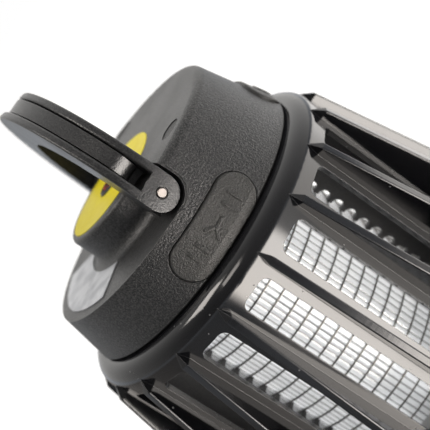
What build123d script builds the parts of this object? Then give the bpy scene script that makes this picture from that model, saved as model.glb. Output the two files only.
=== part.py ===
from build123d import *
import os
from math import cos, radians, sin

os.makedirs("parts", exist_ok=True)

# A rechargeable lantern-shaped bug zapper. Millimetres, +Z up, origin at the centre of the resting
# plane. +X runs along the handle pins, and the handle folds down towards -Y.

# Heights of the main planes
FOOT_H = 2.0             # rubber feet below the tray floor
BASE_BOTTOM = 4.3        # lower edge of the base housing
BASE_TOP = 34.0          # base housing meets the cage
SEAM_Z = 120.0           # cage meets the cap
SEAM_GAP = 0.4           # half of the visible joint
CAP_TOP = SEAM_Z + 26.5  # raised half of the cap and top of the hub
PIN_Z = SEAM_Z + 21.8    # handle pivot
RUN_GAP = 0.05           # radial running clearance

# Cap
CAP_R = 45.0             # outer radius at the seam
CAP_TAPER = 0.2          # radius lost per millimetre of height
CAP_WALL = 2.4
HUB_R = 22.0
HUB_FLARE = 3.3          # concave fillet where the hub meets the recess floor
LABEL_R = 17.8
LABEL_Y = -2.2           # label and power button sit slightly towards the recess
LABEL_T = 0.3
POST_R = 4.5             # screw posts inside the cap
POST_CIRCLE = 32.7
POST_ANGLES = (30, 150, 270)
PLUG_R = 3.45            # counterbore over each screw
SCREW_HEAD_Z = SEAM_Z + 12.9

# Handle
EAR_R = 5.0              # half of the handle's width, and the ear's rounding
EAR_GAP = 0.9
POCKET_RIM = 0.5         # shallow step round the pocket's mouth
BAIL_R = 40.4            # outer radius in the handle's middle plane
HANDLE_LEAN = 1.5        # degrees past upright, away from the recess, when raised
BAIL_INNER_R = 28.0
FLANGE_T = 2.4
WEB_END_ANGLE = 22.5     # where the web's ends round off above the ears
PIN_R = 1.4
EAR_IN_X = 29.0
RECESS_Z = PIN_Z - EAR_R - EAR_GAP

# Port flaps
FLAP_W = 31.2
FLAP_H = 11.5
FLAP_Z = SEAM_Z + 6.05
FLAP_PROUD = 1.0
FLAP_SUNK = 0.75
FLAP_LIP = 2.6           # height of the sloping band along the flap's lower edge
STALK_Y = -11.0          # retaining stalk on the flap's back, from the flap's middle
STALK_R = 0.9
BARB_R = 1.5
BARB_X = (32.8, 34.2)
INPUT_ANGLE = 0
OUTPUT_ANGLE = 88

# Cage
CAGE_R = 50.6
CAGE_WALL = 1.8
SHOULDER_R = 5.4
FIN_COUNT = 18
FIN_T = 2.4
FIN_TIP_Z = SEAM_Z - 4.7
FIN_KNEE = (53.3, SEAM_Z - 8.0)  # radius and height where the fin's steep tip ends
FIN_SLOPE = 0.18
WINDOW_W = 10.0
WINDOW_TOP = SEAM_Z - 9.6
WINDOW_BOTTOM = 44.0
CAGE_FLANGE_TOP = BASE_TOP + 4.0
DECK_T = 2.4

# Grid: two wires wound together round the lamp sleeve, half a turn apart
WIRE_R = 0.25
WIRE_COIL_R = 31.3
WIRE_PITCH = 9.8         # of each wire, so neighbours are half of this apart
WIRE_LOW_Z = 38.62
WIRE_TURNS = 22 / 3
LIVE_START = 40          # azimuth where each wire begins
RETURN_START = 220
TAIL_R = 0.3
TAIL_BOTTOM = 35.0
TAIL_TOP = 116.1
LEAD_R = 0.5
COMB_ANGLES = (60, 180, 300)
COMB_T = 2.0
COMB_TIP_R = 31.75
COMB_NOTCH_R = 1.75
COLLAR_R = 35.5
COLLAR_Z = (34.0, 38.0, 111.2, 112.6)  # bottom and top of the lower, then the upper collar

# Lamp and battery
SLEEVE_R = 30.9
SLEEVE_WALL = 1.6
FLUTE_COUNT = 100
FLUTE_DEPTH = 0.18
LAMP_TOP = 112.6
CORE_R = 20.8
CORE_WALL = 1.6
CELL_R = 9.2
CELL_H = 65.0
LED_BOARD_T = 1.6
LED_ANGLES = (45, 135, 225, 315)
LED_PER_BOARD = 5

# Base and tray
BASE_R = 66.6
BASE_WALL = 2.4
TRAY_R = 61.2
TRAY_WALL = 1.8
TRAY_H = 22.0
LUG_COUNT = 3
LUG_SPAN = 26.0          # degrees of arc of each bayonet lug
FOOT_CIRCLE = 50.0

# Electronics
BOARD_Z = SEAM_Z + 2.4
BOARD_T = 1.6
BOARD_R = 38.0
BOARD_TOP = BOARD_Z + BOARD_T
BOARD_SCREW_ANGLES = (-30, 210, 60)
BOARD_SCREW_CIRCLE = 30.0
BASE_SCREW_ANGLES = (10, 130, 250)
BASE_SCREW_CIRCLE = 57.5
WIRE_TOP_Z = WIRE_LOW_Z + WIRE_PITCH * WIRE_TURNS
LEAD_ANGLES = [start + 360 * WIRE_TURNS for start in (LIVE_START, RETURN_START)]


def polar(radius, angle, z=0.0):
    """Point at a radius, an angle in degrees and a height."""
    return (radius * cos(radians(angle)), radius * sin(radians(angle)), z)


def rod(radius, z_low, z_high, x=0.0, y=0.0):
    """Upright cylinder between two heights."""
    return Pos(x, y, (z_low + z_high) / 2) * Cylinder(radius, z_high - z_low)


def rod_at(radius, z_low, z_high, circle, angle):
    """Upright cylinder standing on a circle about Z."""
    x, y, _ = polar(circle, angle)
    return rod(radius, z_low, z_high, x, y)


def tube(outer, inner, z_low, z_high):
    """Upright tube about Z."""
    return rod(outer, z_low, z_high) - rod(inner, z_low - 1, z_high + 1)


def block(x_span, y_span, z_span):
    """Box between pairs of coordinates."""
    spans = (x_span, y_span, z_span)
    middle = [(low + high) / 2 for low, high in spans]
    sizes = [high - low for low, high in spans]
    return Pos(*middle) * Box(*sizes)


def axle(radius, x_low, x_high, z=PIN_Z):
    """Cylinder parallel to X at the height of the handle pins."""
    return Pos((x_low + x_high) / 2, 0, z) * Rot(0, 90, 0) * Cylinder(radius, x_high - x_low)


def both_sides(shape):
    """The shape and its half-turn copy about Z, as one."""
    return shape + Rot(0, 0, 180) * shape


def arc_band(inner, outer, z_low, z_high, angle_low, angle_high):
    """Part of a tube between two angles in degrees."""
    outline = [(inner, 0, z_low), (outer, 0, z_low), (outer, 0, z_high), (inner, 0, z_high)]
    band = revolve(make_face(Polyline(*outline, close=True)), Axis.Z, angle_high - angle_low)
    return Rot(0, 0, angle_low) * band


def save(name, shape):
    export_step(shape, f"parts/{name}.step")


# ---------------------------------------------------------------- cap

def cap_radius(z):
    """Outer radius of the cap's side at a height."""
    return CAP_R - CAP_TAPER * (z - SEAM_Z)


def cap_cone(inset, z_low, z_high):
    """Solid with the cap's tapering side, moved inwards by inset."""
    cone = Cone(cap_radius(z_low) - inset, cap_radius(z_high) - inset, z_high - z_low)
    return Pos(0, 0, (z_low + z_high) / 2) * cone


def radial_prism(profile, z, reach=12.0):
    """A flat profile on the +X side at a height, extruded outwards through the wall."""
    plane = Plane(origin=(38, 0, z), x_dir=(0, 1, 0), z_dir=(1, 0, 0))
    return extrude(plane * profile, reach)


def hub():
    """Central hub with a concave foot and a rounded top edge."""
    floor = rod(HUB_R + 10, RECESS_Z - 4, RECESS_Z)
    body = floor + rod(HUB_R, RECESS_Z - 4, CAP_TOP)
    foot = [e for e in body.edges().filter_by(GeomType.CIRCLE)
            if abs(e.radius - HUB_R) < 0.01 and abs(e.center().Z - RECESS_Z) < 0.01]
    body = fillet(foot, HUB_FLARE)
    rim = body.edges().filter_by(GeomType.CIRCLE).sort_by(Axis.Z)[-1]
    body = fillet(rim, 1.4)
    return body & rod(HUB_R + HUB_FLARE, RECESS_Z - 4, CAP_TOP + 1)


def pin_boss():
    """Pedestal on the recess floor that carries one pin up to the ear."""
    boss_r = EAR_R - 0.5
    foot = block((18, EAR_IN_X - 0.4), (-boss_r, boss_r), (RECESS_Z - 1, PIN_Z))
    return axle(boss_r, 18, EAR_IN_X - 0.4) + foot


def ear_pocket(radius, reach):
    """Round-bottomed slot about the pins that the raised ear stands in."""
    upright_slot = block((-reach, reach), (-0.1, radius), (PIN_Z, CAP_TOP + 5))
    return axle(radius, -reach, reach) + upright_slot


def cap_recess():
    """Everything cut from the cap's top so that the handle can fold flat."""
    reach = CAP_R + 5
    low_side = block((-reach, reach), (-reach, 0), (RECESS_Z, CAP_TOP + 5))
    pocket_r = EAR_R + EAR_GAP
    rim = ear_pocket(pocket_r + POCKET_RIM, reach) - cap_cone(0.4, SEAM_Z, CAP_TOP + 2)
    return low_side + ear_pocket(pocket_r, reach) + rim - hub() - both_sides(pin_boss())


def cap_cavity():
    """Hollow inside the cap, leaving the walls, the floors and the pin bosses."""
    floor_z = RECESS_Z - CAP_WALL
    ceiling_z = CAP_TOP - CAP_WALL
    lower = cap_cone(CAP_WALL, SEAM_Z - 1, floor_z)
    step_y = EAR_R + EAR_GAP + CAP_WALL
    raised = cap_cone(CAP_WALL, floor_z - 1, ceiling_z)
    raised = raised & block((-60, 60), (step_y, 60), (floor_z - 1, ceiling_z))
    under_hub = rod(HUB_R - CAP_WALL, floor_z - 1, ceiling_z)
    bosses = both_sides(axle(PIN_R + 1.6, 15, HUB_R))
    return lower + raised + under_hub - bosses


def cap_housing():
    """Moulded cap: tapering side, raised half, recess for the folded handle, hub and posts."""
    body = cap_cone(0, SEAM_Z + SEAM_GAP, CAP_TOP)
    body = fillet(body.edges().sort_by(Axis.Z)[-1], 2.6)
    body = body - cap_recess() - cap_cavity()
    limit = cap_cone(0.5, SEAM_Z - 2, CAP_TOP - 0.5)
    for angle in POST_ANGLES:
        post_top = RECESS_Z - 1 if angle == 270 else CAP_TOP - 1
        body += rod_at(POST_R, SEAM_Z - SEAM_GAP, post_top, POST_CIRCLE, angle) & limit
    for angle in POST_ANGLES:
        body -= rod_at(1.7, SEAM_Z - 5, CAP_TOP, POST_CIRCLE, angle)
        body -= rod_at(PLUG_R, SCREW_HEAD_Z, CAP_TOP + 5, POST_CIRCLE, angle)
    body -= both_sides(axle(PIN_R, 16, 50))
    body -= rod(LABEL_R + 0.15, CAP_TOP - LABEL_T, CAP_TOP + 1, 0, LABEL_Y)
    body -= rod(4.5, CAP_TOP - 5, CAP_TOP + 1, 0, LABEL_Y)
    for angle, hole_w, hole_h in ((INPUT_ANGLE, 15.0, 7.0), (OUTPUT_ANGLE, 18.0, 8.0)):
        pocket = radial_prism(SlotOverall(FLAP_W + 0.7, FLAP_H + 0.7), FLAP_Z)
        pocket -= cap_cone(FLAP_SUNK + 0.3, SEAM_Z - 5, CAP_TOP)
        opening = radial_prism(RectangleRounded(hole_w, hole_h, 1.5), FLAP_Z)
        stalk_hole = stalk(STALK_R + 0.12, CAP_R - 9, CAP_R)
        body -= Rot(0, 0, angle) * (pocket + opening + stalk_hole)
    return body


def stalk(radius, x_low, x_high):
    """Round bar through the cap's wall, parallel to the middle of the flap's outward direction."""
    return Pos(0, STALK_Y, 0) * axle(radius, x_low, x_high, FLAP_Z)


def port_flap(angle, plug_w, plug_h):
    """Rubber cover that pulls straight out, with a plug and a barbed retaining stalk on its back."""
    outside = cap_cone(-FLAP_PROUD, SEAM_Z - 5, CAP_TOP)
    inside = cap_cone(FLAP_SUNK, SEAM_Z - 5, CAP_TOP)
    cover = radial_prism(SlotOverall(FLAP_W, FLAP_H), FLAP_Z) & (outside - inside)
    rim = cover.faces().sort_by(Axis.X)[-1].edges()
    cover = fillet(rim, 0.5)
    lip_low = FLAP_Z - FLAP_H / 2
    lip_r = cap_radius(lip_low) + 0.1
    ridge_r = cap_radius(lip_low + FLAP_LIP) + FLAP_PROUD
    slope = Pos(0, 0, lip_low + FLAP_LIP / 2) * Cone(lip_r, ridge_r, FLAP_LIP)
    cover -= tube(CAP_R + 5, 30, lip_low, lip_low + FLAP_LIP) - slope
    plug = radial_prism(RectangleRounded(plug_w, plug_h, 1.0), FLAP_Z)
    plug_reach = block((41.3, 50), (-20, 20), (SEAM_Z - 5, CAP_TOP))
    back = cap_cone(FLAP_SUNK - 0.2, SEAM_Z - 5, CAP_TOP)
    plug = plug & back & plug_reach
    keeper = (stalk(STALK_R, BARB_X[0], CAP_R) & back) + stalk(BARB_R, *BARB_X)
    return Rot(0, 0, angle) * (cover + plug + keeper)


def cap_screw(angle):
    """Pan-head screw from a cap post down into the cage deck."""
    head = rod_at(2.8, SCREW_HEAD_Z, SCREW_HEAD_Z + 2.0, POST_CIRCLE, angle)
    shank = rod_at(1.3, SEAM_Z - 6, SCREW_HEAD_Z, POST_CIRCLE, angle)
    x, y, _ = polar(POST_CIRCLE, angle)
    cross = Box(3.0, 0.6, 2.0) + Box(0.6, 3.0, 2.0)
    return head + shank - Pos(x, y, SCREW_HEAD_Z + 2.0) * cross


def screw_plugs():
    """Push-in covers over the two screws in the raised half."""
    top = CAP_TOP - 0.25
    return [rod_at(PLUG_R - 0.15, top - 3.0, top, POST_CIRCLE, angle) for angle in POST_ANGLES[:2]]


def cap_gasket():
    """Flat sealing ring between the cage deck and the cap's lower edge."""
    return tube(CAP_R - 1.4, CAP_R - CAP_WALL + 0.1, SEAM_Z - SEAM_GAP, SEAM_Z + SEAM_GAP)


def hub_label():
    """Round label on the hub, with a hole for the power button."""
    z_low = CAP_TOP - LABEL_T
    return rod(LABEL_R, z_low, CAP_TOP + 0.1, 0, LABEL_Y) - rod(4.6, z_low - 1, CAP_TOP + 1, 0, LABEL_Y)


def crescent_label():
    """Curved label on the recess floor, covering the third screw."""
    return arc_band(HUB_R + HUB_FLARE + 0.2, 38.6, RECESS_Z, RECESS_Z + 0.3, -128, -52)


# ---------------------------------------------------------------- handle

def bail_radius(y):
    """Outer radius of the handle, which carries on the cap's taper when folded."""
    return BAIL_R - CAP_TAPER * y


def bail_cone(inset, y_low, y_high):
    """Solid disc about Y through the pins, with the handle's tapering rim."""
    cone = Cone(bail_radius(y_low) - inset, bail_radius(y_high) - inset, y_high - y_low)
    return Pos(0, (y_low + y_high) / 2, PIN_Z) * Rot(-90, 0, 0) * cone


def bail_disc(radius, half_width):
    """Cylinder about Y through the pins."""
    return Pos(0, 0, PIN_Z) * Rot(90, 0, 0) * Cylinder(radius, 2 * half_width)


def bail_web(inner, outer, half_width):
    """Band between the two flanges, stopping short of the ears with full round ends."""
    middle = (inner + outer) / 2
    end_r = (outer - inner) / 2
    end_x, end_z, _ = polar(middle, WEB_END_ANGLE)
    tip_x = end_x + end_r * sin(radians(WEB_END_ANGLE))
    tip_z = end_z - end_r * cos(radians(WEB_END_ANGLE))
    out_x, out_z, _ = polar(outer, WEB_END_ANGLE)
    in_x, in_z, _ = polar(inner, WEB_END_ANGLE)
    outline = [ThreePointArc((out_x, out_z), (0, outer), (-out_x, out_z)),
               ThreePointArc((-out_x, out_z), (-tip_x, tip_z), (-in_x, in_z)),
               ThreePointArc((-in_x, in_z), (0, inner), (in_x, in_z)),
               ThreePointArc((in_x, in_z), (tip_x, tip_z), (out_x, out_z))]
    band = extrude(Plane.XZ.offset(-half_width) * make_face(outline), 2 * half_width)
    return Pos(0, 0, PIN_Z) * band


def carry_handle():
    """Semicircular bail: two flanges, a web between them and a solid ear at each end."""
    upper = block((-60, 60), (-20, 20), (PIN_Z, PIN_Z + 60))
    low_flange = bail_cone(0, -EAR_R, FLANGE_T - EAR_R)
    high_flange = bail_cone(0, EAR_R - FLANGE_T, EAR_R)
    low_rim = low_flange.edges().filter_by(GeomType.CIRCLE)
    high_rim = high_flange.edges().filter_by(GeomType.CIRCLE)
    low_flange = fillet(low_rim, 0.7)
    high_flange = fillet(high_rim, 0.7)
    flanges = ((low_flange + high_flange) & upper) - bail_disc(BAIL_INNER_R, 20)
    flanges -= block((-EAR_IN_X, EAR_IN_X), (-20, 20), (PIN_Z - 1, PIN_Z + EAR_R - 0.2))
    crown = bail_web(BAIL_INNER_R + 0.4, bail_radius(0) - 0.6, EAR_R - FLANGE_T - 0.4)
    core = bail_web(BAIL_INNER_R + 1.6, bail_radius(0) - 3.4, EAR_R - FLANGE_T + 0.1)
    ear = axle(EAR_R, EAR_IN_X, 45) + block((EAR_IN_X, 45), (-EAR_R, EAR_R), (PIN_Z, PIN_Z + EAR_R - 0.2))
    ear = both_sides(ear) & bail_cone(0, -EAR_R, EAR_R)
    above_ear = block((-60, 60), (-20, 20), (PIN_Z + EAR_R - 0.2, PIN_Z + 60))
    floor = (bail_disc(BAIL_INNER_R + 2.2, EAR_R - 0.5) - bail_disc(BAIL_INNER_R + 0.6, EAR_R)) & above_ear
    handle = flanges + crown + core + ear + floor
    handle -= both_sides(axle(PIN_R + RUN_GAP, 20, 50) + axle(PIN_R + 0.3, BAIL_R - 0.8, 50))
    return Pos(0, 0, PIN_Z) * Rot(-HANDLE_LEAN, 0, 0) * Pos(0, 0, -PIN_Z) * handle


def handle_pins():
    """Two steel pins, held in the cap's bosses, that the handle turns on."""
    pin = axle(PIN_R, 16.2, BAIL_R + 0.3)
    pin = chamfer(pin.edges().sort_by(Axis.X)[-1], 0.25)
    return [pin, Rot(0, 0, 180) * pin]


# ---------------------------------------------------------------- switch and electronics

def power_button():
    """Round push button with a retaining flange and a long stem down to the switch."""
    head = rod(4.3, CAP_TOP - 3.6, CAP_TOP + 0.6, 0, LABEL_Y)
    head = fillet(head.edges().sort_by(Axis.Z)[-1], 0.5)
    flange = rod(5.6, CAP_TOP - 4.4, CAP_TOP - 2.7, 0, LABEL_Y)
    stem = rod(2.0, BOARD_TOP + 6.6, CAP_TOP - 4.0, 0, LABEL_Y)
    return head + flange + stem


def button_spring():
    """Coil spring that returns the button."""
    z_low = BOARD_TOP + 3.9
    z_high = CAP_TOP - 4.75
    coil_r = 3.4
    wire_r = 0.3
    path = Helix(pitch=(z_high - z_low) / 7, height=z_high - z_low, radius=coil_r)
    profile = Plane(origin=path @ 0, z_dir=path % 0) * Circle(wire_r)
    return Pos(0, LABEL_Y, z_low) * sweep(profile, path=path)


def power_switch():
    """Tactile switch with a round plunger under the button stem."""
    base = Pos(0, LABEL_Y, 0) * block((-6, 6), (-6, 6), (BOARD_TOP, BOARD_TOP + 3.4))
    return base + rod(1.7, BOARD_TOP + 3.4, BOARD_TOP + 5.4, 0, LABEL_Y)


def circuit_board():
    """Round board with cut-outs for the cap's screw posts."""
    board = rod(BOARD_R, BOARD_Z, BOARD_TOP)
    for angle in POST_ANGLES:
        x, y, _ = polar(POST_CIRCLE + 4, angle)
        slot = Box(20, 2 * POST_R + 1.0, 5)
        board -= Pos(x, y, BOARD_Z) * Rot(0, 0, angle) * slot
    for angle in BOARD_SCREW_ANGLES:
        board -= rod_at(1.1, BOARD_Z - 1, BOARD_TOP + 1, BOARD_SCREW_CIRCLE, angle)
    return board


def board_screw(angle):
    """Small screw holding the board to a standoff on the cage deck."""
    head = rod_at(1.9, BOARD_TOP, BOARD_TOP + 1.3, BOARD_SCREW_CIRCLE, angle)
    return head + rod_at(0.9, SEAM_Z - 1.6, BOARD_TOP, BOARD_SCREW_CIRCLE, angle)


def input_port():
    """Small charging receptacle, mouth towards +X."""
    shell = block((34.0, 41.2), (-4.5, 4.5), (BOARD_TOP, BOARD_TOP + 3.2))
    shell = fillet(shell.edges().filter_by(Axis.X), 1.2)
    mouth = block((35.0, 42), (-4.1, 4.1), (BOARD_TOP + 0.4, BOARD_TOP + 2.8))
    mouth = fillet(mouth.edges().filter_by(Axis.X), 0.9)
    tongue = block((34.5, 40.4), (-3.3, 3.3), (BOARD_TOP + 1.3, BOARD_TOP + 1.9))
    return shell - mouth + tongue


def output_port():
    """Full-size power outlet receptacle, mouth outwards."""
    shell = block((27.4, 41.0), (-6.6, 6.6), (BOARD_TOP, BOARD_TOP + 5.6))
    mouth = block((28.4, 42), (-6.2, 6.2), (BOARD_TOP + 0.4, BOARD_TOP + 5.2))
    tongue = block((28.0, 40.0), (-5.4, 5.4), (BOARD_TOP + 3.0, BOARD_TOP + 4.6))
    return Rot(0, 0, OUTPUT_ANGLE) * (shell - mouth + tongue)


def hv_transformer():
    """Bobbin-shaped transformer: core plates with a winding between them."""
    winding = Pos(-14, 16.5, BOARD_TOP + 6) * Cylinder(5.2, 8.0)
    bottom = block((-21, -7), (10.5, 22.5), (BOARD_TOP, BOARD_TOP + 2.2))
    top = block((-21, -7), (10.5, 22.5), (BOARD_TOP + 9.8, BOARD_TOP + 12.0))
    return winding + bottom + top


def hv_capacitor():
    """Film capacitor standing on the board."""
    body = block((9, 21), (12, 19), (BOARD_TOP + 0.6, BOARD_TOP + 12))
    body = fillet(body.edges(), 0.8)
    legs = rod(0.4, BOARD_TOP, BOARD_TOP + 1.5, 11, 15.5) + rod(0.4, BOARD_TOP, BOARD_TOP + 1.5, 19, 15.5)
    return body + legs


def hv_lead(angle):
    """Insulated lead from the top of a wire's tail, through the deck, to the board."""
    return rod_at(LEAD_R, TAIL_TOP, BOARD_Z, WIRE_COIL_R, angle)


# ---------------------------------------------------------------- cage

def fin():
    """One outer fin on the +X side: pointed tip, steep start, then a long flaring edge."""
    foot_x = CAGE_R - 0.15
    root_x = CAGE_R - 1.2
    reach = 70.0
    plan = Pos((root_x + reach) / 2, 0) * Rectangle(reach - root_x, FIN_T)
    plan += Pos((root_x + foot_x) / 2, 0) * Rectangle(foot_x - root_x, FIN_T + 2.6)
    inner_corners = [v for v in plan.vertices() if abs(v.X - foot_x) < 0.01 and abs(v.Y) < FIN_T / 2 + 0.01]
    plan = fillet(inner_corners, 1.2)
    body = extrude(Pos(0, 0, BASE_TOP) * plan, FIN_TIP_Z - BASE_TOP)
    knee_r, knee_z = FIN_KNEE
    low_r = knee_r + FIN_SLOPE * (knee_z - CAGE_FLANGE_TOP)
    side = Polyline((root_x, BASE_TOP), (low_r, BASE_TOP), (low_r, CAGE_FLANGE_TOP), FIN_KNEE,
                    (CAGE_R, FIN_TIP_Z), (root_x, FIN_TIP_Z), close=True)
    profile = extrude(Plane.XZ.offset(-FIN_T / 2) * make_face(side), FIN_T)
    long_edges = [e for e in profile.edges() if e.length > 60 and e.center().X > CAGE_R + 5]
    profile = fillet(long_edges, 0.5)
    point = Polyline((-4, BASE_TOP), (4, BASE_TOP), (4, FIN_TIP_Z - 13), (0, FIN_TIP_Z + 0.4),
                     (-4, FIN_TIP_Z - 13), close=True)
    tip = extrude(Plane.YZ.offset(root_x - 1) * make_face(point), reach)
    return body & profile & tip


def window_cutter():
    """Tall rounded opening on the +X side."""
    height = WINDOW_TOP - WINDOW_BOTTOM
    plane = Plane(origin=(CAGE_R - 8, 0, (WINDOW_TOP + WINDOW_BOTTOM) / 2), x_dir=(0, 1, 0), z_dir=(1, 0, 0))
    return extrude(plane * RectangleRounded(WINDOW_W, height, 2.3), 12)


def cage_body():
    """Glossy cage: deck, rounded shoulder, windowed wall, flaring fins and bottom flange."""
    top = SEAM_Z - SEAM_GAP
    wall = rod(CAGE_R, BASE_TOP, top)
    wall = fillet(wall.edges().sort_by(Axis.Z)[-1], SHOULDER_R)
    wall -= rod(CAGE_R - CAGE_WALL, BASE_TOP - 1, top - DECK_T)
    low_r = FIN_KNEE[0] + FIN_SLOPE * (FIN_KNEE[1] - CAGE_FLANGE_TOP)
    flange = rod(low_r, BASE_TOP, CAGE_FLANGE_TOP) - rod(CAGE_R - CAGE_WALL, BASE_TOP - 1, top)
    body = wall + flange
    step = 360 / FIN_COUNT
    body += [Rot(0, 0, step * i) * fin() for i in range(FIN_COUNT)]
    body -= [Rot(0, 0, step * (i + 0.5)) * window_cutter() for i in range(FIN_COUNT)]
    for angle in POST_ANGLES:
        body += rod_at(3.4, SEAM_Z - 7, top - 1, POST_CIRCLE, angle)
        body -= rod_at(1.3, SEAM_Z - 6.2, top + 1, POST_CIRCLE, angle)
    for angle in BOARD_SCREW_ANGLES:
        body += rod_at(2.2, top - 1, BOARD_Z, BOARD_SCREW_CIRCLE, angle)
        body -= rod_at(0.9, SEAM_Z - 1.8, BOARD_Z + 1, BOARD_SCREW_CIRCLE, angle)
    for angle in BASE_SCREW_ANGLES:
        body -= rod_at(1.3, BASE_TOP - 1, CAGE_FLANGE_TOP - 0.6, BASE_SCREW_CIRCLE, angle)
    for angle in LEAD_ANGLES:
        body -= rod_at(1.2, SEAM_Z - 5, SEAM_Z + 1, WIRE_COIL_R, angle)
    body -= rod(5.0, SEAM_Z - 5, SEAM_Z + 1)
    return body


def wire_grid(start):
    """One electrode: a wire wound round the sleeve, with a straight tail at each end."""
    coil = Helix(pitch=WIRE_PITCH, height=WIRE_PITCH * WIRE_TURNS, radius=WIRE_COIL_R)
    profile = Plane(origin=coil @ 0, z_dir=coil % 0) * Circle(WIRE_R)
    wire = Rot(0, 0, start) * Pos(0, 0, WIRE_LOW_Z) * sweep(profile, path=coil)
    overlap = 0.15
    wire += rod_at(TAIL_R, TAIL_BOTTOM, WIRE_LOW_Z + overlap, WIRE_COIL_R, start)
    wire += rod_at(TAIL_R, WIRE_TOP_Z - overlap, TAIL_TOP, WIRE_COIL_R, start + 360 * WIRE_TURNS)
    return wire


def collar(z_low, z_high, notch_low, tail_angles):
    """Insulating ring round one end of the sleeve, notched from a height upwards for the wires' tails."""
    ring = tube(COLLAR_R, SLEEVE_R + 0.05, z_low, z_high)
    for angle in tail_angles:
        ring -= rod_at(TAIL_R + 0.25, notch_low, z_high + 1, WIRE_COIL_R, angle)
    return ring


def wire_comb(angle):
    """Radial wall whose scalloped inner edge keeps the windings apart."""
    top = SEAM_Z - SEAM_GAP - DECK_T
    comb = block((COMB_TIP_R, CAGE_R - CAGE_WALL - 0.2), (-COMB_T / 2, COMB_T / 2), (BASE_TOP, top))
    clear_r = COLLAR_R + 0.2
    comb -= rod(clear_r, COLLAR_Z[0] - 1, COLLAR_Z[1] + 0.2)
    comb -= rod(clear_r, COLLAR_Z[2] - 0.2, top + 1)
    half_pitch = WIRE_PITCH / 2
    wire_z = WIRE_LOW_Z + WIRE_PITCH * (angle - LIVE_START) / 360
    notch = Pos(COMB_TIP_R + 0.8, 0, 0) * Rot(90, 0, 0) * Cylinder(COMB_NOTCH_R, 2 * COMB_T)
    notch += block((COMB_TIP_R - 2, COMB_TIP_R + 0.8), (-COMB_T, COMB_T), (-COMB_NOTCH_R, COMB_NOTCH_R))
    gaps = [wire_z + half_pitch * (i + 0.5) for i in range(-2, 2 * int(WIRE_TURNS) + 2)]
    comb -= [Pos(0, 0, z) * notch for z in gaps if COLLAR_Z[1] + 2 < z < COLLAR_Z[2] - 2]
    return Rot(0, 0, angle) * comb


# ---------------------------------------------------------------- lamp and battery

def lamp_core():
    """Tube with a closed bottom that holds the cells and carries the LED boards."""
    return rod(CORE_R, BASE_TOP, LAMP_TOP - 2) - rod(CORE_R - CORE_WALL, BASE_TOP + 2, LAMP_TOP)


def lamp_sleeve():
    """Fluted sleeve around the lamp, standing on the base deck."""
    step = 360 / FLUTE_COUNT
    arcs = []
    for i in range(FLUTE_COUNT):
        low = polar(SLEEVE_R - FLUTE_DEPTH, step * i)[:2]
        crest = polar(SLEEVE_R, step * (i + 0.5))[:2]
        high = polar(SLEEVE_R - FLUTE_DEPTH, step * (i + 1))[:2]
        arcs.append(ThreePointArc(low, crest, high))
    height = LAMP_TOP - BASE_TOP
    fluted = extrude(Pos(0, 0, BASE_TOP) * make_face(arcs), height)
    return fluted - rod(SLEEVE_R - SLEEVE_WALL, BASE_TOP - 1, LAMP_TOP + 1)


def battery_cell(x):
    """One cylindrical cell with a raised positive cap."""
    z_low = BASE_TOP + 3
    can = rod(CELL_R, z_low, z_low + CELL_H, x)
    can = fillet(can.edges().filter_by(GeomType.CIRCLE), 0.6)
    return can + rod(3.0, z_low + CELL_H - 1, z_low + CELL_H + 0.6, x)


def battery_contact(z_low):
    """Contact strip that joins the two cells."""
    width = 8.0
    return block((-15, 15), (-width / 2, width / 2), (z_low, z_low + 0.4))


def led_board(angle):
    """Narrow board fixed flat on the lamp core."""
    board = block((CORE_R, CORE_R + LED_BOARD_T), (-6, 6), (BASE_TOP + 6, LAMP_TOP - 6))
    return Rot(0, 0, angle) * board


def led(angle, index):
    """Ultraviolet lamp chip on its board."""
    pitch = (LAMP_TOP - BASE_TOP - 24) / (LED_PER_BOARD - 1)
    z = BASE_TOP + 12 + pitch * index
    x_low = CORE_R + LED_BOARD_T
    chip = block((x_low, x_low + 1.4), (-2.5, 2.5), (z - 2.5, z + 2.5))
    return Rot(0, 0, angle) * chip


# ---------------------------------------------------------------- base and tray

def base_housing():
    """Lower housing: skirt, slotted deck that insects fall through, and bayonet ledges."""
    skirt = rod(BASE_R, BASE_BOTTOM, BASE_TOP)
    skirt = fillet(skirt.edges().sort_by(Axis.Z)[0], 1.2)
    body = skirt - rod(BASE_R - BASE_WALL, BASE_BOTTOM - 1, BASE_TOP - 2.6)
    slot = arc_band(COLLAR_R + 1, CAGE_R - 4, BASE_TOP - 5, BASE_TOP + 1, 5, 55)
    body -= [Rot(0, 0, 60 * i) * slot for i in range(6)]
    ledge = arc_band(TRAY_R + 0.5, BASE_R - 1, 8.0, 10.0, -LUG_SPAN / 2, LUG_SPAN / 2)
    body += [Rot(0, 0, 120 * i) * ledge for i in range(LUG_COUNT)]
    for angle in BASE_SCREW_ANGLES:
        body -= rod_at(1.6, BASE_TOP - 5, BASE_TOP + 1, BASE_SCREW_CIRCLE, angle)
    return body


def base_screw(angle):
    """Screw from under the base deck up into the cage flange."""
    head_top = BASE_TOP - 2.6
    head = rod_at(2.6, head_top - 1.8, head_top, BASE_SCREW_CIRCLE, angle)
    return head + rod_at(1.3, head_top - 0.1, CAGE_FLANGE_TOP - 0.8, BASE_SCREW_CIRCLE, angle)


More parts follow.
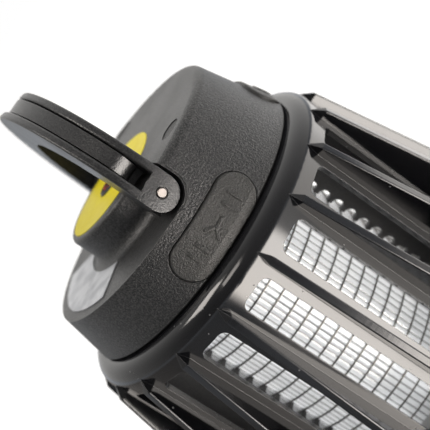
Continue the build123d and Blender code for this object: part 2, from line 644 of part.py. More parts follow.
def collection_tray():
    """Twist-off tray: floor disc, inner wall, bayonet lugs and a grip bar across a hollow."""
    floor_top = BASE_BOTTOM - 0.3
    floor = rod(BASE_R - 0.4, FOOT_H, floor_top)
    floor = fillet(floor.edges().sort_by(Axis.Z)[0], 0.9)
    wall = tube(TRAY_R, TRAY_R - TRAY_WALL, floor_top - 0.5, TRAY_H)
    lug = arc_band(TRAY_R - 1, BASE_R - BASE_WALL - 0.5, 10.3, 12.3, -LUG_SPAN / 2, LUG_SPAN / 2)
    body = floor + wall + [Rot(0, 0, 120 * i) * lug for i in range(LUG_COUNT)]
    grip_r = 24.0
    body += rod(grip_r + 1.8, FOOT_H + 0.5, 14)
    bar = block((-grip_r - 1, grip_r + 1), (-3, 3), (FOOT_H + 0.5, 13))
    body -= rod(grip_r, 0, 12) - bar
    for angle in LED_ANGLES:
        body -= rod_at(6.1, 0, FOOT_H + 0.6, FOOT_CIRCLE, angle)
    return body


def foot(angle):
    """Round rubber foot set into the tray's underside."""
    pad = rod_at(6.0, 0, FOOT_H + 0.6, FOOT_CIRCLE, angle)
    return fillet(pad.edges().sort_by(Axis.Z)[0], 0.6)


def build():
    """Write every piece."""
    save("cap_housing", cap_housing())
    save("cap_gasket", cap_gasket())
    save("cap_screws", Compound([cap_screw(angle) for angle in POST_ANGLES]))
    save("screw_plugs", Compound(screw_plugs()))
    save("input_flap", port_flap(INPUT_ANGLE, 11.0, 4.4))
    save("output_flap", port_flap(OUTPUT_ANGLE, 13.0, 5.0))
    save("hub_label", hub_label())
    save("crescent_label", crescent_label())
    save("carry_handle", carry_handle())
    save("handle_pins", Compound(handle_pins()))
    save("power_button", power_button())
    save("button_spring", button_spring())
    save("power_switch", power_switch())
    save("circuit_board", circuit_board())
    save("board_screws", Compound([board_screw(angle) for angle in BOARD_SCREW_ANGLES]))
    save("input_port", input_port())
    save("output_port", output_port())
    save("hv_transformer", hv_transformer())
    save("hv_capacitor", hv_capacitor())
    save("hv_leads", Compound([hv_lead(angle) for angle in LEAD_ANGLES]))
    save("cage_body", cage_body())
    save("grid_live", wire_grid(LIVE_START))
    save("grid_return", wire_grid(RETURN_START))
    save("lower_collar", collar(*COLLAR_Z[:2], TAIL_BOTTOM - 0.1, (LIVE_START, RETURN_START)))
    save("upper_collar", collar(*COLLAR_Z[2:], COLLAR_Z[2] - 1, LEAD_ANGLES))
    save("wire_combs", Compound([wire_comb(angle) for angle in COMB_ANGLES]))
    save("lamp_sleeve", lamp_sleeve())
    save("lamp_core", lamp_core())
    save("led_boards", Compound([led_board(angle) for angle in LED_ANGLES]))
    save("uv_leds", Compound([led(angle, i) for angle in LED_ANGLES for i in range(LED_PER_BOARD)]))
    save("battery_cells", Compound([battery_cell(-9.5), battery_cell(9.5)]))
    save("battery_contacts", Compound([battery_contact(BASE_TOP + 2.3), battery_contact(BASE_TOP + 69)]))
    save("base_housing", base_housing())
    save("base_screws", Compound([base_screw(angle) for angle in BASE_SCREW_ANGLES]))
    save("collection_tray", collection_tray())
    save("rubber_feet", Compound([foot(angle) for angle in LED_ANGLES]))


build()
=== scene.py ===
import math
import bpy
import bmesh
from mathutils import Matrix, Vector


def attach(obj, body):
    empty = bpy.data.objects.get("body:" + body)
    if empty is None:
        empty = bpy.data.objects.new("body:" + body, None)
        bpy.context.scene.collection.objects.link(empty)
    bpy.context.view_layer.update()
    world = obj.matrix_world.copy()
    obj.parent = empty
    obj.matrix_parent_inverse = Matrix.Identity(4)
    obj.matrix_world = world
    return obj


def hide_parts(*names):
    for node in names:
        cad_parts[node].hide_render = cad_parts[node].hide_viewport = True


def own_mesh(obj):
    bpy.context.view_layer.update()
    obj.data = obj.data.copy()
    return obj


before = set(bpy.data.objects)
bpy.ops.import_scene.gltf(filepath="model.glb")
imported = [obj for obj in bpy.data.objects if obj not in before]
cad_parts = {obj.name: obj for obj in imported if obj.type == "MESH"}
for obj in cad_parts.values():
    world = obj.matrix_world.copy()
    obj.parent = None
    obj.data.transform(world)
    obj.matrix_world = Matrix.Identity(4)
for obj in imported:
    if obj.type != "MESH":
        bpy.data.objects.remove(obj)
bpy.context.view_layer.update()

# ---------------------------------------------------------------- measures, in metres

MM = 0.001
SEAM_Z = 120.0 * MM
CAP_TOP = 146.5 * MM
CAP_R = 45.0 * MM
CAP_TAPER = 0.2
FLAP_Z = 126.05 * MM
FLAP_PROUD = 1.0 * MM
FLAP_ANGLES = {"input_cover": 0.0, "output_cover": 88.0}
LABEL_Y = -2.2 * MM
BUTTON_TOP = CAP_TOP + 0.6 * MM

# ---------------------------------------------------------------- shader building


class Shader:
    """A node material being put together; positions are the row frame in metres."""

    def __init__(self, name):
        self.material = bpy.data.materials.new(name)
        self.material.use_nodes = True
        self.tree = self.material.node_tree
        self.surface = self.tree.nodes["Principled BSDF"]
        self.place = self.add("ShaderNodeTexCoord").outputs["Object"]

    def add(self, kind, **settings):
        """New node of a kind, with its settings."""
        node = self.tree.nodes.new(kind)
        for key, value in settings.items():
            setattr(node, key, value)
        return node

    def feed(self, socket, value):
        """Joins an output to an input, or sets the input to a plain value."""
        if isinstance(value, bpy.types.NodeSocket):
            self.tree.links.new(value, socket)
        else:
            socket.default_value = value

    def stretch(self, x, y, z):
        """Positions scaled along the axes, for textures drawn out in one direction."""
        node = self.add("ShaderNodeMapping")
        self.feed(node.inputs["Vector"], self.place)
        node.inputs["Scale"].default_value = (x, y, z)
        return node.outputs["Vector"]

    def noise(self, scale, detail=2.0, roughness=0.5, vector=None):
        """Smooth noise; scale is features per metre."""
        node = self.add("ShaderNodeTexNoise")
        self.feed(node.inputs["Vector"], vector or self.place)
        node.inputs["Scale"].default_value = scale
        node.inputs["Detail"].default_value = detail
        node.inputs["Roughness"].default_value = roughness
        return node.outputs["Fac"]

    def cells(self, scale):
        """Distance to the nearest of scattered points; scale is points per metre."""
        node = self.add("ShaderNodeTexVoronoi")
        self.feed(node.inputs["Vector"], self.place)
        node.inputs["Scale"].default_value = scale
        return node.outputs["Distance"]

    def remap(self, value, low, high, to_low=0.0, to_high=1.0):
        """Value stretched from one range to another, and held at its ends."""
        node = self.add("ShaderNodeMapRange")
        self.feed(node.inputs["Value"], value)
        node.inputs["From Min"].default_value = low
        node.inputs["From Max"].default_value = high
        node.inputs["To Min"].default_value = to_low
        node.inputs["To Max"].default_value = to_high
        return node.outputs["Result"]

    def math(self, operation, a, b=0.0):
        """One arithmetic step on sockets or numbers."""
        node = self.add("ShaderNodeMath", operation=operation)
        self.feed(node.inputs[0], a)
        self.feed(node.inputs[1], b)
        return node.outputs["Value"]

    def blend(self, factor, low, high):
        """Colour between two colours."""
        node = self.add("ShaderNodeMix", data_type="RGBA")
        self.feed(node.inputs["Factor"], factor)
        self.feed(node.inputs["A"], rgba(low))
        self.feed(node.inputs["B"], rgba(high))
        return node.outputs["Result"]

    def length(self, scale=(1, 1, 1)):
        """Distance from the origin after scaling the axes."""
        scaled = self.add("ShaderNodeVectorMath", operation="MULTIPLY")
        self.feed(scaled.inputs[0], self.place)
        scaled.inputs[1].default_value = scale
        node = self.add("ShaderNodeVectorMath", operation="LENGTH")
        self.feed(node.inputs[0], scaled.outputs["Vector"])
        return node.outputs["Value"]

    def bump(self, height, depth, strength=1.0, normal=None):
        """Normal disturbed by a height of so many metres."""
        node = self.add("ShaderNodeBump")
        self.feed(node.inputs["Height"], height)
        node.inputs["Distance"].default_value = depth
        node.inputs["Strength"].default_value = strength
        if normal is not None:
            self.feed(node.inputs["Normal"], normal)
        return node.outputs["Normal"]

    def rounded(self, radius):
        """Normal that eases round edges by a radius."""
        node = self.add("ShaderNodeBevel", samples=4)
        node.inputs["Radius"].default_value = radius
        return node.outputs["Normal"]

    def edge_highlight_mask(self, radius):
        """Mask that is 1 on edges and 0 on open surfaces, for painted edge highlights and edge polish."""
        true_normal = self.add("ShaderNodeNewGeometry").outputs["Normal"]
        dot = self.add("ShaderNodeVectorMath", operation="DOT_PRODUCT")
        self.feed(dot.inputs[0], self.rounded(radius))
        self.feed(dot.inputs[1], true_normal)
        return self.remap(dot.outputs["Value"], 0.995, 0.85)

    def set(self, **inputs):
        """Feeds the surface's inputs by short names and returns the material."""
        names = {"colour": "Base Color", "roughness": "Roughness", "metallic": "Metallic", "normal": "Normal",
                 "coat": "Coat Weight", "coat_roughness": "Coat Roughness", "ior": "IOR",
                 "specular": "Specular IOR Level"}
        for key, value in inputs.items():
            value = rgba(value) if key == "colour" else value
            self.feed(self.surface.inputs[names[key]], value)
        return self.material


def rgba(colour):
    """Four-channel colour from three channels or one grey value; sockets pass through."""
    if isinstance(colour, bpy.types.NodeSocket):
        return colour
    if isinstance(colour, float):
        return (colour, colour, colour, 1.0)
    return (*colour, 1.0)


# ---------------------------------------------------------------- materials

EDGE_WIDTH = 0.4 * MM
EDGE_ROUND = 0.25 * MM
# how much lighter than the pale grain colour the painted edge highlight is
EDGE_HIGHLIGHT_GAIN = 2.2
EDGE_POLISH = 0.14


def textured_plastic(name, dark, pale, roughness, grain_scale, grain_depth):
    """Moulded plastic with a fine spark-eroded grain, slightly polished edges and a painted highlight that
    lightens its edges.
    """
    s = Shader(name)
    grain = s.noise(grain_scale, 2.0, 0.6)
    pits = s.cells(grain_scale * 0.7)
    height = s.math("ADD", grain, s.math("MULTIPLY", pits, 0.6))
    broad = s.noise(60.0, 3.0)
    edge = s.edge_highlight_mask(EDGE_WIDTH)
    colour = s.blend(s.remap(grain, 0.42, 0.66), dark, pale)
    # painted highlight: edges lightened towards a brighter copy of the pale colour
    colour = s.blend(s.math("MULTIPLY", edge, 0.7), colour, tuple(c * EDGE_HIGHLIGHT_GAIN for c in pale))
    rough = s.remap(broad, 0.3, 0.7, roughness - 0.05, roughness + 0.05)
    rough = s.math("SUBTRACT", rough, s.math("MULTIPLY", edge, EDGE_POLISH))
    normal = s.bump(height, grain_depth, 1.0, s.rounded(EDGE_ROUND))
    return s.set(colour=colour, roughness=rough, normal=normal, specular=0.5)


def cap_plastic():
    dark, pale = (0.011, 0.011, 0.012), (0.072, 0.071, 0.07)
    return textured_plastic("cap_black", dark, pale, 0.41, 2300.0, 0.12 * MM)


def handle_plastic():
    dark, pale = (0.014, 0.014, 0.015), (0.055, 0.054, 0.054)
    return textured_plastic("handle_black", dark, pale, 0.31, 2500.0, 0.07 * MM)


def base_plastic():
    dark, pale = (0.02, 0.02, 0.022), (0.042, 0.042, 0.044)
    return textured_plastic("base_black", dark, pale, 0.5, 2400.0, 0.04 * MM)


def tray_plastic():
    dark, pale = (0.018, 0.018, 0.02), (0.036, 0.036, 0.038)
    return textured_plastic("tray_black", dark, pale, 0.46, 2200.0, 0.04 * MM)


def comb_plastic():
    dark, pale = (0.012, 0.012, 0.013), (0.022, 0.022, 0.023)
    return textured_plastic("comb_black", dark, pale, 0.4, 1800.0, 0.02 * MM)


def core_plastic():
    dark, pale = (0.3, 0.3, 0.31), (0.42, 0.42, 0.43)
    return textured_plastic("core_grey", dark, pale, 0.45, 1800.0, 0.02 * MM)


def switch_plastic():
    dark, pale = (0.02, 0.02, 0.02), (0.04, 0.04, 0.04)
    return textured_plastic("switch_black", dark, pale, 0.4, 1800.0, 0.02 * MM)


def button_plastic():
    dark, pale = (0.012, 0.012, 0.013), (0.025, 0.025, 0.026)
    return textured_plastic("button_black", dark, pale, 0.38, 2600.0, 0.02 * MM)


def cage_plastic():
    """High-gloss black moulding with faint flow lines, smudges, a little dust and painted highlights on its
    edges.
    """
    s = Shader("cage_gloss")
    flow = s.noise(90.0, 3.0, 0.6, s.stretch(1.0, 1.0, 14.0))
    smudge = s.noise(45.0, 4.0, 0.55)
    edge = s.edge_highlight_mask(0.3 * MM)
    colour = s.blend(s.remap(smudge, 0.3, 0.7), (0.009, 0.009, 0.011), (0.014, 0.014, 0.016))
    speck = s.math("LESS_THAN", s.cells(420.0), 0.11)
    chosen = s.math("GREATER_THAN", s.noise(130.0, 1.0), 0.62)
    dust = s.math("MULTIPLY", speck, chosen)
    colour = s.blend(s.math("MULTIPLY", dust, 0.5), colour, 0.35)
    # painted highlight: edges lightened towards grey
    colour = s.blend(s.math("MULTIPLY", edge, 0.25), colour, 0.12)
    rough = s.remap(smudge, 0.35, 0.75, 0.09, 0.17)
    rough = s.math("ADD", rough, s.math("MULTIPLY", dust, 0.4))
    normal = s.bump(flow, 0.012 * MM, 1.0, s.rounded(EDGE_ROUND))
    return s.set(colour=colour, roughness=rough, normal=normal, ior=1.5, specular=0.5)


def flap_rubber():
    """Soft black rubber with a coarse, slightly shiny grain."""
    s = Shader("flap_rubber")
    grain = s.noise(2800.0, 3.0, 0.65)
    coarse = s.cells(2000.0)
    height = s.math("ADD", grain, s.math("MULTIPLY", coarse, 0.8))
    colour = s.blend(s.remap(grain, 0.3, 0.7), (0.014, 0.014, 0.0135), (0.066, 0.065, 0.062))
    rough = s.remap(coarse, 0.1, 0.6, 0.32, 0.54)
    normal = s.bump(height, 0.14 * MM, 1.0, s.rounded(0.3 * MM))
    return s.set(colour=colour, roughness=rough, normal=normal, specular=0.4)


def seal_rubber():
    """Matt black rubber."""
    s = Shader("seal_rubber")
    grain = s.noise(1200.0, 2.0)
    colour = s.blend(grain, (0.01, 0.01, 0.01), (0.025, 0.025, 0.025))
    rough = s.remap(s.noise(200.0), 0.3, 0.7, 0.6, 0.8)
    return s.set(colour=colour, roughness=rough, normal=s.bump(grain, 0.04 * MM, 1.0))


def yellow_label():
    """Printed foil, yellow with faint print mottling."""
    s = Shader("yellow_label")
    mottle = s.noise(500.0, 3.0)
    wash = s.noise(70.0, 2.0)
    colour = s.blend(s.remap(mottle, 0.3, 0.7), (0.86, 0.70, 0.002), (0.93, 0.78, 0.01))
    rough = s.remap(wash, 0.3, 0.7, 0.45, 0.6)
    return s.set(colour=colour, roughness=rough, normal=s.bump(mottle, 0.01 * MM, 0.6), specular=0.35)


def silver_label():
    """Satin silver foil with soft grey blotches painted in as reflections."""
    s = Shader("silver_label")
    reflection_blotch = s.noise(170.0, 2.0, 0.5)
    fine = s.noise(1800.0, 2.0)
    # painted reflection: soft grey blotches in the foil's colour
    colour = s.blend(s.remap(reflection_blotch, 0.42, 0.62), (0.68, 0.69, 0.72), (0.46, 0.47, 0.5))
    rough = s.remap(fine, 0.3, 0.7, 0.36, 0.48)
    return s.set(colour=colour, roughness=rough, metallic=0.25, normal=s.bump(fine, 0.008 * MM, 0.6))


def brushed_metal(name, tint, roughness, scale=2500.0, metallic=1.0):
    """Metal with fine turning or drawing marks and roughness that varies."""
    s = Shader(name)
    marks = s.noise(scale, 3.0, 0.6)
    patch = s.noise(scale * 0.12, 2.0)
    colour = s.blend(marks, tuple(c * 0.86 for c in tint), tint)
    rough = s.remap(patch, 0.3, 0.7, roughness - 0.06, roughness + 0.08)
    return s.set(colour=colour, roughness=rough, metallic=metallic, normal=s.bump(marks, 0.01 * MM, 0.7))


def pin_steel():
    return brushed_metal("pin_steel", (0.162, 0.147, 0.138), 0.4, 1800.0)


def spring_steel():
    return brushed_metal("spring_steel", (0.6, 0.6, 0.6), 0.3)


def screw_steel():
    return brushed_metal("screw_steel", (0.55, 0.55, 0.55), 0.34)


def port_steel():
    return brushed_metal("port_steel", (0.72, 0.72, 0.72), 0.3)


def grid_wire():
    return brushed_metal("grid_wire", (0.2, 0.195, 0.18), 0.34, 3500.0)


def contact_nickel():
    return brushed_metal("contact_nickel", (0.7, 0.68, 0.62), 0.3)


def led_board_metal():
    return brushed_metal("led_board_white", (0.75, 0.75, 0.76), 0.45, 1200.0, 0.1)


def satin(name, low, high, roughness, scale=900.0, depth=0.015 * MM):
    """Plain satin material with slight mottling and grain."""
    s = Shader(name)
    fine = s.noise(scale, 3.0)
    wide = s.noise(scale * 0.1, 2.0)
    colour = s.blend(s.remap(fine, 0.3, 0.7), low, high)
    rough = s.remap(wide, 0.3, 0.7, roughness - 0.06, roughness + 0.08)
    return s.set(colour=colour, roughness=rough, normal=s.bump(fine, depth, 0.8))


SLEEVE_GROOVE = (30.735 * MM, 30.83 * MM)   # distance from the axis at a groove's bottom and near its lip
# strength of a painted glow that stands in for light falling on the sleeve
SLEEVE_PAINTED_GLOW = 0.2


def sleeve_plastic():
    """Glossy white fluted sleeve with a painted glow, standing in for light falling on it, and painted shade
    as grey in the grooves.
    """
    s = Shader("sleeve_white")
    cloud = s.noise(60.0, 3.0)
    fine = s.noise(1400.0, 2.0)
    groove = s.remap(s.length((1, 1, 0)), *SLEEVE_GROOVE, 1.0, 0.0)
    colour = s.blend(s.remap(cloud, 0.3, 0.7), (0.74, 0.75, 0.76), (0.82, 0.82, 0.82))
    # painted shade: the grooves darkened to grey
    colour = s.blend(s.math("MULTIPLY", groove, 0.75), colour, (0.10, 0.10, 0.10))
    rough = s.remap(cloud, 0.3, 0.7, 0.2, 0.3)
    # painted glow over the sleeve, left out of the grooves, standing in for light falling on it
    s.surface.inputs["Emission Color"].default_value = (0.95, 0.97, 1.0, 1)
    lit = s.math("SUBTRACT", 1.0, groove)
    s.feed(s.surface.inputs["Emission Strength"], s.math("MULTIPLY", lit, SLEEVE_PAINTED_GLOW))
    normal = s.bump(fine, 0.004 * MM, 0.6)
    return s.set(colour=colour, roughness=rough, normal=normal, coat=0.5, coat_roughness=0.1)


def board_laminate():
    return satin("board_green", (0.01, 0.09, 0.035), (0.014, 0.12, 0.05), 0.4, 1500.0)


def winding_plastic():
    return satin("winding_amber", (0.45, 0.26, 0.06), (0.55, 0.33, 0.09), 0.45)


def capacitor_film():
    return satin("capacitor_red", (0.3, 0.03, 0.02), (0.38, 0.05, 0.03), 0.35)


def lead_insulation():
    return satin("lead_red", (0.42, 0.02, 0.02), (0.52, 0.035, 0.03), 0.45)


def insulator_plastic():
    return satin("collar_white", (0.5, 0.5, 0.5), (0.6, 0.6, 0.6), 0.4)


def led_lens():
    return satin("led_lens", (0.35, 0.3, 0.55), (0.45, 0.4, 0.65), 0.2)


def cell_wrap():
    return satin("cell_blue", (0.02, 0.08, 0.3), (0.03, 0.1, 0.36), 0.35)


def mark_red():
    return satin("mark_red", (0.5, 0.012, 0.008), (0.6, 0.02, 0.012), 0.4, 1500.0)


SLOT_MATERIALS = {
    "cap_plastic": cap_plastic, "handle_plastic": handle_plastic, "flap_rubber": flap_rubber,
    "seal_rubber": seal_rubber, "yellow_label": yellow_label, "silver_label": silver_label,
    "pin_steel": pin_steel, "button_plastic": button_plastic, "spring_steel": spring_steel,
    "switch_plastic": switch_plastic, "board_laminate": board_laminate, "screw_steel": screw_steel,
    "port_steel": port_steel, "winding_plastic": winding_plastic, "capacitor_film": capacitor_film,
    "lead_insulation": lead_insulation, "cage_plastic": cage_plastic, "grid_wire": grid_wire,
    "insulator_plastic": insulator_plastic, "comb_plastic": comb_plastic, "sleeve_plastic": sleeve_plastic,
    "core_plastic": core_plastic, "led_board_metal": led_board_metal, "led_lens": led_lens,
    "cell_wrap": cell_wrap, "contact_nickel": contact_nickel, "base_plastic": base_plastic,
    "tray_plastic": tray_plastic,
}


def dress_nodes():
    """Gives every CAD node the material of its slot."""
    made = {}
    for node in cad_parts.values():
        for index, slot in enumerate(node.data.materials):
            name = slot.name.split(".")[0]
            if name not in made:
                made[name] = SLOT_MATERIALS[name]()
            node.data.materials[index] = made[name]
    return made


# ---------------------------------------------------------------- added pieces

def new_piece(name, mesh, body, material):
    """Object of one material that rides on a body."""
    piece = bpy.data.objects.new(name, mesh)
    bpy.context.scene.collection.objects.link(piece)
    mesh.materials.clear()
    mesh.materials.append(material)
    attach(piece, body)
    return piece


def finished(name, bm, smooth=False):
    """Mesh from a bmesh, with its normals made to face outwards."""
    bmesh.ops.recalc_face_normals(bm, faces=bm.faces)
    mesh = bpy.data.meshes.new(name)
    bm.to_mesh(mesh)
    bm.free()
    for face in mesh.polygons:
        face.use_smooth = smooth
    return mesh


def on_flap(u, v, lift, angle):
    """Point on a flap's face: u along its length, v up, lift outwards."""
    radius = CAP_R - CAP_TAPER * (FLAP_Z + v - SEAM_Z) + FLAP_PROUD + lift
    turn = math.radians(angle) + u / (CAP_R + FLAP_PROUD)
    return Vector((radius * math.cos(turn), radius * math.sin(turn), FLAP_Z + v))


def pill_outline(u, v, half_u, half_v, lean=0.0, steps=5):
    """Outline of a bar with round ends, leaning by an angle."""
    radius = min(half_u, half_v)
    points = []
    for corner in range(4):
        sign_u = 1 if corner in (0, 3) else -1
        sign_v = 1 if corner in (0, 1) else -1
        for k in range(steps):
            a = math.radians(90 * corner + 90 * k / (steps - 1))
            pu = sign_u * (half_u - radius) + radius * math.cos(a)
            pv = sign_v * (half_v - radius) + radius * math.sin(a)
            cu = pu * math.cos(lean) - pv * math.sin(lean)
            cv = pu * math.sin(lean) + pv * math.cos(lean)
            points.append((u + cu, v + cv))
    return points


PAD_HEIGHT = 0.35 * MM
PAD_PROFILE = ((0.0, -0.7), (0.0, 0.45), (0.25, 0.88), (0.63, 1.0))   # inset and lift, in pad heights


def raised_pads(name, outlines, place):
    """Mesh of low pads with rounded shoulders, one for each outline."""
    bm = bmesh.new()
    for outline in outlines:
        middle = (sum(p[0] for p in outline) / len(outline), sum(p[1] for p in outline) / len(outline))
        rings = []
        for inset, lift in PAD_PROFILE:
            ring = []
            for pu, pv in outline:
                du, dv = pu - middle[0], pv - middle[1]
                ratio = max(0.0, 1.0 - inset * PAD_HEIGHT / math.hypot(du, dv))
                spot = place(middle[0] + du * ratio, middle[1] + dv * ratio, lift * PAD_HEIGHT)
                ring.append(bm.verts.new(spot))
            rings.append(ring)
        count = len(outline)
        for low, high in zip(rings, rings[1:]):
            for i in range(count):
                j = (i + 1) % count
                bm.faces.new((low[i], low[j], high[j], high[i]))
        bm.faces.new(rings[-1])
    return finished(name, bm, smooth=True)


RIB_PITCH = 3.3 * MM
RIB_HALF = (0.55 * MM, 2.4 * MM)      # half of a rib's width and height
ARROW_BAR = (0.5 * MM, 1.9 * MM)      # half of an arrow bar's width and length
ARROW_HEAD = (-1.2 * MM, 1.1 * MM)
ARROW_LEAN = 48.0
ARROW_STEM_U = 1.6 * MM


def flap_marks(made):
    """Raised grip ribs and an arrow on each flap: inwards for charging, outwards for power out."""
    for body, angle in FLAP_ANGLES.items():
        sign = 1 if body == "input_cover" else -1
        outlines = [pill_outline(step * RIB_PITCH, 0, *RIB_HALF) for step in (-3, -2, 2, 3)]
        for side in (-1, 1):
            head_u, head_v = ARROW_HEAD
            lean = math.radians(ARROW_LEAN * sign * side)
            outlines.append(pill_outline(head_u * sign, head_v * side, *ARROW_BAR, lean))
        outlines.append(pill_outline(ARROW_STEM_U * sign, 0, ARROW_BAR[1], ARROW_BAR[0]))
        mesh = raised_pads(body + "_marks", outlines, lambda u, v, w, a=angle: on_flap(u, v, w, a))
        new_piece(body + "_marks", mesh, body, made["flap_rubber"])


POWER_R = 2.3 * MM
POWER_HALF_W = 0.28 * MM
POWER_GAP = (125, 415)                # degrees over which the ring runs, open at the top
POWER_STEPS = 26
POWER_BAR = (0.6 * MM, 2.9 * MM)
PRINT_SUNK = -0.05 * MM
PRINT_LIFT = 0.06 * MM


def button_mark():
    """Thin red ring and bar on the button's top, the usual sign for power."""
    bm = bmesh.new()
    profile = ((-1.0, PRINT_SUNK), (-0.8, PRINT_LIFT), (0.8, PRINT_LIFT), (1.0, PRINT_SUNK))
    rows = []
    for k in range(POWER_STEPS + 1):
        turn = math.radians(POWER_GAP[0] + (POWER_GAP[1] - POWER_GAP[0]) * k / POWER_STEPS)
        row = []
        for side, lift in profile:
            r = POWER_R + side * POWER_HALF_W
            row.append(bm.verts.new((r * math.cos(turn), LABEL_Y + r * math.sin(turn), BUTTON_TOP + lift)))
        rows.append(row)
    for a, b in zip(rows, rows[1:]):
        for i in range(3):
            bm.faces.new((a[i], a[i + 1], b[i + 1], b[i]))
    bm.faces.new(rows[0])
    bm.faces.new(rows[-1])
    low, high = POWER_BAR
    bar = []
    for side, y in ((-1, low), (1, low), (1, high), (-1, high)):
        foot = (side * POWER_HALF_W, LABEL_Y + y, BUTTON_TOP + PRINT_SUNK)
        head = (side * POWER_HALF_W * 0.8, LABEL_Y + y, BUTTON_TOP + PRINT_LIFT)
        bar.append((bm.verts.new(foot), bm.verts.new(head)))
    for i in range(4):
        j = (i + 1) % 4
        bm.faces.new((bar[i][0], bar[j][0], bar[j][1], bar[i][1]))
    bm.faces.new([pair[1] for pair in bar])
    new_piece("button_mark", finished("button_mark", bm), "button", mark_red())


def return_coil(made):
    """Button spring, copied to a mesh of its own that rides on the housing in place of the CAD node."""
    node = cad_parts["button_spring"]
    coil = new_piece("return_coil", node.data.copy(), "housing", made["spring_steel"])
    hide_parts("button_spring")
    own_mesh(coil)


# ---------------------------------------------------------------- stage, light and camera

SHOT_RIGHT = Vector((0.25593, 0.53557, -0.80477))
SHOT_UP = Vector((-0.05902, 0.83961, 0.53997))
SHOT_BACK = Vector((0.96489, -0.09070, 0.24649))
SHOT_PLACE = Vector((0.31245, -0.02697, 0.20703))

# what gloss sees of the floor: bearing from the object's axis in degrees, level, tint
FLOOR_GLOW = (
    (-180, 0.02, (1.0, 0.94, 0.88)), (-90, 0.022, (1.0, 0.94, 0.88)), (-27, 0.03, (0.9, 0.95, 1.0)),
    (-20, 1.0, (1.0, 0.93, 0.86)), (20, 1.0, (1.0, 0.95, 0.9)), (25, 0.14, (1.0, 0.97, 0.94)),
    (43, 0.11, (1.0, 0.97, 0.94)), (50, 0.27, (1.0, 0.95, 0.9)), (104, 0.26, (1.0, 0.97, 0.94)),
    (150, 0.06, (1.0, 0.98, 0.96)), (180, 0.02, (1.0, 0.94, 0.88)))
FLOOR_GLOW_STRENGTH = 15.5
FLOOR_GLOW_REACH = (0.58, 0.80)   # distance from the origin over which the glow fades
FLOOR_GLOW_FAR = (0.04, 0.042, 0.045)
FLOOR_HALF = 4.0
FLOOR_LIFT = 0.45                 # light added to what the camera sees of the floor


def floor():
    """Plain pale floor under the feet; gloss sees it as a ring of soft boxes."""
    bm = bmesh.new()
    bmesh.ops.create_grid(bm, x_segments=1, y_segments=1, size=FLOOR_HALF)
    mesh = bpy.data.meshes.new("floor")
    bm.to_mesh(mesh)
    bm.free()
    plane = bpy.data.objects.new("floor", mesh)
    bpy.context.scene.collection.objects.link(plane)
    s = Shader("floor_white")
    split = s.add("ShaderNodeSeparateXYZ")
    s.feed(split.inputs["Vector"], s.place)
    bearing = s.math("ARCTAN2", split.outputs["Y"], split.outputs["X"])
    ramp = s.add("ShaderNodeValToRGB")
    s.feed(ramp.inputs["Fac"], s.remap(bearing, -math.pi, math.pi))
    while len(ramp.color_ramp.elements) < len(FLOOR_GLOW):
        ramp.color_ramp.elements.new(0.5)
    for element, (angle, level, tint) in zip(ramp.color_ramp.elements, FLOOR_GLOW):
        element.position = (angle + 180) / 360
        element.color = rgba(tuple(level * c for c in tint))
    far = s.remap(s.length(), *FLOOR_GLOW_REACH)
    glow = s.add("ShaderNodeEmission")
    s.feed(glow.inputs["Color"], s.blend(far, ramp.outputs["Color"], FLOOR_GLOW_FAR))
    glow.inputs["Strength"].default_value = FLOOR_GLOW_STRENGTH
    ray = s.add("ShaderNodeLightPath")
    grain = s.noise(300.0, 2.0)
    colour = s.blend(grain, (0.88, 0.875, 0.87), (0.92, 0.915, 0.91))
    material = s.set(colour=colour, roughness=0.8, specular=0.0)
    s.surface.inputs["Emission Color"].default_value = rgba(1.0)
    lift = s.math("MULTIPLY", ray.outputs["Is Camera Ray"], FLOOR_LIFT)
    s.feed(s.surface.inputs["Emission Strength"], lift)
    mix = s.add("ShaderNodeMixShader")
    s.feed(mix.inputs["Fac"], ray.outputs["Is Glossy Ray"])
    s.feed(mix.inputs[1], s.surface.outputs["BSDF"])
    s.feed(mix.inputs[2], glow.outputs["Emission"])
    s.feed(s.tree.nodes["Material Output"].inputs["Surface"], mix.outputs["Shader"])
    mesh.materials.append(material)


DOME_AXES = ((Vector((0.97, -0.10, 0.20)), 1.02, 0.27),   # away from the lens, towards it
             (SHOT_UP, 0.66, 1.25))                       # below the picture, above it
DOME_SPAN = (-0.6, 0.9)
DOME_TINT = (1.0, 0.985, 0.96)


def studio_dome():
    """White to the camera; to surfaces, bright behind and above the object and dim on the lens side."""
    world = bpy.data.worlds.new("studio")
    bpy.context.scene.world = world
    world.use_nodes = True
    tree = world.node_tree
    tree.nodes.clear()
    links = tree.links
    out = tree.nodes.new("ShaderNodeOutputWorld")
    ray = tree.nodes.new("ShaderNodeLightPath")
    seen = tree.nodes.new("ShaderNodeBackground")
    seen.inputs["Color"].default_value = rgba(1.0)
    lit = tree.nodes.new("ShaderNodeBackground")
    lit.inputs["Color"].default_value = rgba(DOME_TINT)
    mix = tree.nodes.new("ShaderNodeMixShader")
    coord = tree.nodes.new("ShaderNodeTexCoord")
    level = tree.nodes.new("ShaderNodeMath")
    level.operation = "MULTIPLY"
    for (axis, low, high), socket in zip(DOME_AXES, level.inputs):
        dot = tree.nodes.new("ShaderNodeVectorMath")
        dot.operation = "DOT_PRODUCT"
        dot.inputs[1].default_value = axis
        span = tree.nodes.new("ShaderNodeMapRange")
        span.interpolation_type = "SMOOTHSTEP"
        span.inputs["From Min"].default_value = DOME_SPAN[0]
        span.inputs["From Max"].default_value = DOME_SPAN[1]
        span.inputs["To Min"].default_value = low
        span.inputs["To Max"].default_value = high
        links.new(coord.outputs["Generated"], dot.inputs[0])
        links.new(dot.outputs["Value"], span.inputs["Value"])
        links.new(span.outputs["Result"], socket)
    links.new(level.outputs["Value"], lit.inputs["Strength"])
    links.new(ray.outputs["Is Camera Ray"], mix.inputs["Fac"])
    links.new(lit.outputs["Background"], mix.inputs[1])
    links.new(seen.outputs["Background"], mix.inputs[2])
    links.new(mix.outputs["Shader"], out.inputs["Surface"])


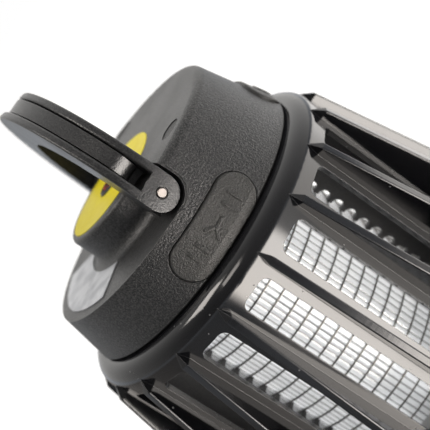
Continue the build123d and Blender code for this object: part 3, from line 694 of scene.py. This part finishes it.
def panel(name, place, aim, size, power, tint=(1, 1, 1)):
    """Square soft light aimed at a point."""
    light = bpy.data.lights.new(name, "AREA")
    light.shape = "SQUARE"
    light.size = size
    light.energy = power
    light.color = tint
    lamp = bpy.data.objects.new(name, light)
    away = Vector(place) - Vector(aim)
    lamp.matrix_world = Matrix.Translation(place) @ away.to_track_quat("Z", "Y").to_matrix().to_4x4()
    lamp.visible_camera = False
    bpy.context.scene.collection.objects.link(lamp)
    return lamp


def lights():
    """A soft key that only shades, two cards that only gloss sees, and a fill for the sleeve alone."""
    warm = (1.0, 0.98, 0.95)
    key = panel("key_light", (-0.10, 0.75, 0.70), (0, 0, 0.12), 0.9, 5.2, warm)
    key.visible_glossy = False
    warmer = (1.0, 0.94, 0.88)
    high = panel("high_card", (0.29, -0.087, 0.489), (0.048, -0.008, 0.118), 0.12, 0.3, warmer)
    shoulder = panel("shoulder_card", (0.06, -0.138, 0.445), (0.045, -0.017, 0.117), 0.13, 0.55, warmer)
    for card in (high, shoulder):
        card.visible_diffuse = False
    fill = panel("sleeve_fill", (0.40, -0.20, 0.14), (0, 0, 0.09), 0.25, 2.7)
    lit = bpy.data.collections.new("sleeve_only")
    lit.objects.link(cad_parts["lamp_sleeve"])
    fill.light_linking.receiver_collection = lit


FOCUS = (45.0 * MM, -2.0 * MM, 126.0 * MM)   # on the charging cover


def camera():
    """Looks from the side with the charging cover, a little from above, with the lamp's top leaning left."""
    data = bpy.data.cameras.new("shot")
    data.sensor_width = 36.0
    data.lens = 92.61
    data.shift_x = 0.0985
    data.shift_y = -0.0195
    data.clip_start = 0.01
    target = bpy.data.objects.new("focus", None)
    target.location = FOCUS
    bpy.context.scene.collection.objects.link(target)
    data.dof.use_dof = True
    data.dof.focus_object = target
    data.dof.aperture_fstop = 18.0
    shot = bpy.data.objects.new("shot", data)
    axes = Matrix((SHOT_RIGHT, SHOT_UP, SHOT_BACK)).transposed()
    shot.matrix_world = Matrix.Translation(SHOT_PLACE) @ axes.to_4x4()
    bpy.context.scene.collection.objects.link(shot)
    bpy.context.scene.camera = shot


# ---------------------------------------------------------------- put together

materials = dress_nodes()
flap_marks(materials)
button_mark()
return_coil(materials)
floor()
studio_dome()
lights()
camera()
bpy.context.scene.view_settings.view_transform = "Standard"
